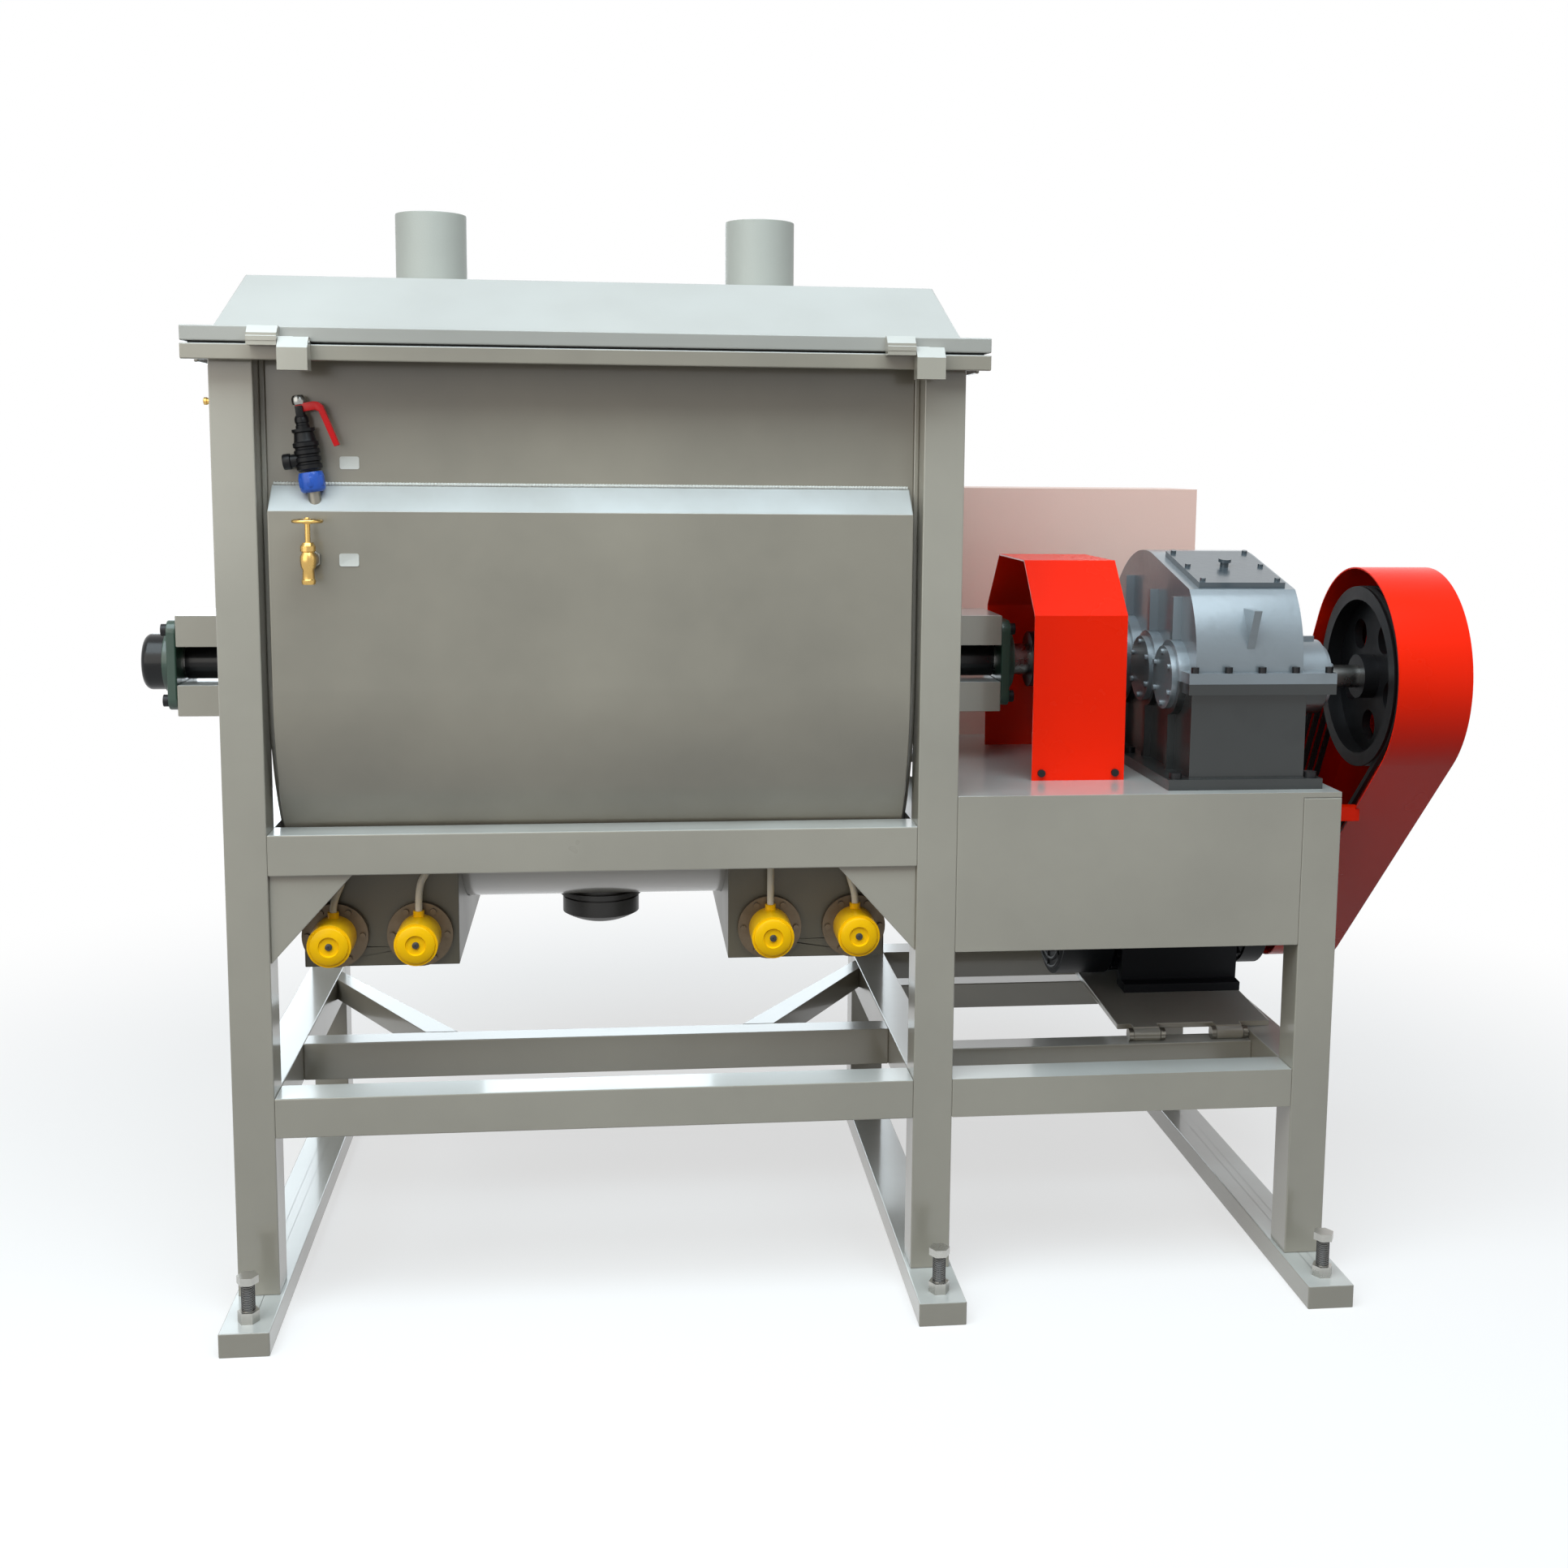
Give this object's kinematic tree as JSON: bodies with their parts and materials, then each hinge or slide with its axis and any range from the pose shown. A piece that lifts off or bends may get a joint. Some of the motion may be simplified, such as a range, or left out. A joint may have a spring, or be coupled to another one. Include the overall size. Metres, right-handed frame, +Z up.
{
  "type": "ribbon blender",
  "caption": "Heated horizontal ribbon blender: jacketed U-trough with helical agitator and hinged lid on a welded frame, driven through belts and a reducer.",
  "frame": {"origin": "middle of the underside of the middle base rail, on the floor", "axes": "+X along the agitator shaft to the drive end, +Y from the front to the hinge side, +Z up"},
  "size_m": [2.701, 1.342, 2.195],
  "materials": {
    "grey_paint": "satin light grey paint",
    "zinc_steel": "zinc plated",
    "dark_steel": "dark satin",
    "gasket_rubber": "matte",
    "shaft_steel": "turned steel",
    "green_iron": "dark green paint",
    "black_plastic": "gloss",
    "dark_iron": "dark machined iron",
    "reducer_paint": "gloss grey paint on cast iron",
    "guard_orange": "gloss orange-red paint",
    "belt_rubber": "matte",
    "motor_black": "satin black",
    "heater_yellow": "gloss yellow",
    "lead_white": "braided sleeve",
    "valve_blue": "gloss blue",
    "valve_black": "satin black",
    "lever_red": "gloss red",
    "brass": "polished",
    "cabinet_beige": "satin beige-grey powder coat"
  },
  "bodies": {
    "frame": {"base_rails": "grey_paint", "levelling_bolts": "zinc_steel", "legs": "grey_paint", "side_stretchers": "grey_paint", "long_beams": "grey_paint", "frame_braces": "grey_paint", "upper_beams": "grey_paint", "drive_platform": "grey_paint", "trough": "grey_paint", "discharge_spout": "dark_steel", "end_plates": "grey_paint", "jacket": "grey_paint", "trough_rim": "grey_paint", "lid_gasket": "gasket_rubber", "hinge_brackets": "grey_paint", "bearing_standoffs": "grey_paint", "shaft_seals": "shaft_steel", "bearing_housings": "green_iron", "bearing_end_cap": "black_plastic", "reducer_lower": "reducer_paint", "reducer_upper": "reducer_paint", "inspection_cover": "reducer_paint", "reducer_caps": "reducer_paint", "v_belts": "belt_rubber", "belt_guard": "guard_orange", "coupling_guard": "guard_orange", "plate_supports": "zinc_steel", "drive_bolts": "zinc_steel", "heater_chambers": "grey_paint", "immersion_heaters": "zinc_steel", "heater_caps": "heater_yellow", "wiring_duct": "grey_paint", "heater_lead_1": "lead_white", "heater_lead_2": "lead_white", "heater_lead_3": "lead_white", "heater_lead_4": "lead_white", "relief_base": "valve_blue", "relief_valve": "valve_black", "tap_body": "brass", "cabinet_body": "cabinet_beige"},
    "lid_body": {"lid": "grey_paint", "inlet_pipes": "grey_paint", "lid_fittings": "grey_paint"},
    "hasp_left_body": {"latch_hasp_left": "grey_paint"},
    "hasp_right_body": {"latch_hasp_right": "grey_paint"},
    "agitator": {"main_shaft": "shaft_steel", "outer_ribbons": "shaft_steel", "inner_ribbons": "shaft_steel", "coupling_halves": "dark_iron", "output_shaft": "shaft_steel"},
    "reducer_input": {"input_shaft": "shaft_steel", "large_pulley": "dark_iron"},
    "motor_mount": {"motor_plate": "grey_paint", "motor_frame": "motor_black"},
    "motor_rotor": {"motor_shaft": "shaft_steel", "motor_pulley": "dark_iron"},
    "spout_cap": {"discharge_cap": "dark_steel"},
    "valve_lever": {"relief_lever": "lever_red"},
    "tap_wheel": {"tap_handwheel": "brass"},
    "door": {"cabinet_door": "cabinet_beige"}
  },
  "joints": [
    {"name": "lid_hinge", "type": "hinge", "parent": "frame", "child": "lid_body", "pos_m": [-0.6685, 0.585, 1.892], "axis": [-1, 0, 0], "range_deg": [0, 95]},
    {"name": "hasp_left_swing", "type": "hinge", "parent": "lid_body", "child": "hasp_left_body", "pos_m": [-1.2105, -0.582, 1.897], "axis": [-1, 0, 0], "range_deg": [0, 110]},
    {"name": "hasp_right_swing", "type": "hinge", "parent": "lid_body", "child": "hasp_right_body", "pos_m": [-0.044, -0.582, 1.897], "axis": [-1, 0, 0], "range_deg": [0, 110]},
    {"name": "agitator_spin", "type": "hinge", "parent": "frame", "child": "agitator", "pos_m": [-0.6685, 0, 1.247], "axis": [1, 0, 0], "continuous": true},
    {"name": "pulley_spin", "type": "hinge", "parent": "frame", "child": "reducer_input", "pos_m": [0.962, -0.35, 1.247], "axis": [1, 0, 0], "continuous": true},
    {"name": "motor_plate_tilt", "type": "hinge", "parent": "frame", "child": "motor_mount", "pos_m": [0.6145, -0.253, 0.444], "axis": [1, 0, 0], "range_deg": [0, 5], "deforming": ["v_belts"]},
    {"name": "motor_spin", "type": "hinge", "parent": "motor_mount", "child": "motor_rotor", "pos_m": [0.962, 0.11222, 0.64038], "axis": [1, 0, 0], "continuous": true},
    {"name": "spout_cap_turn", "type": "hinge", "parent": "frame", "child": "spout_cap", "pos_m": [-0.6685, 0, 0.7], "axis": [0, 0, 1], "range_deg": [0, 720]},
    {"name": "relief_lever_lift", "type": "hinge", "parent": "frame", "child": "valve_lever", "pos_m": [-1.21824, -0.485, 1.77406], "axis": [0, -1, 0], "range_deg": [0, 60], "stiffness_Nm_per_rad": 0.4},
    {"name": "tap_turn", "type": "hinge", "parent": "frame", "child": "tap_wheel", "pos_m": [-1.199, -0.555, 1.569], "axis": [0, 0, 1], "range_deg": [0, 720]},
    {"name": "cabinet_door_hinge", "type": "hinge", "parent": "frame", "child": "door", "pos_m": [0.777, 0.525, 1.328], "axis": [0, 0, -1], "range_deg": [0, 110]}
  ],
  "couplings": [
    {"joint": "pulley_spin", "follows": "agitator_spin", "ratio": 23.34},
    {"joint": "motor_spin", "follows": "agitator_spin", "ratio": 59.128}
  ]
}
